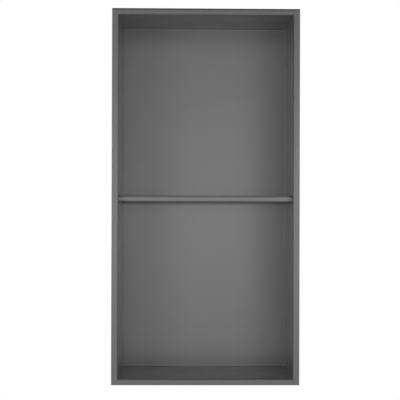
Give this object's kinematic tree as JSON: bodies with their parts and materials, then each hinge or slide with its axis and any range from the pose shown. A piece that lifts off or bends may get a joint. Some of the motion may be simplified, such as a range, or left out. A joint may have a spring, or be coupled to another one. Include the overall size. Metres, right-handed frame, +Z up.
{
  "type": "shower niche insert",
  "caption": "Tall rectangular recessed wall niche of folded sheet metal, semi-gloss grey, with a narrow front rim and a fixed middle shelf, for bottles and soap in a shower.",
  "frame": {"origin": "centre of the back panel's rear face", "axes": "+Z up as the niche stands in a wall, +Y out of the back panel into the wall, so that the niche opens towards -Y; +X to the right of someone facing it"},
  "size_m": [0.3048, 0.1016, 0.6096],
  "materials": {
    "grey_coated_steel": "smooth semi-gloss grey powder coat"
  },
  "bodies": {
    "root": {"niche_box": "grey_coated_steel", "shelf": "grey_coated_steel"}
  },
  "joints": []
}
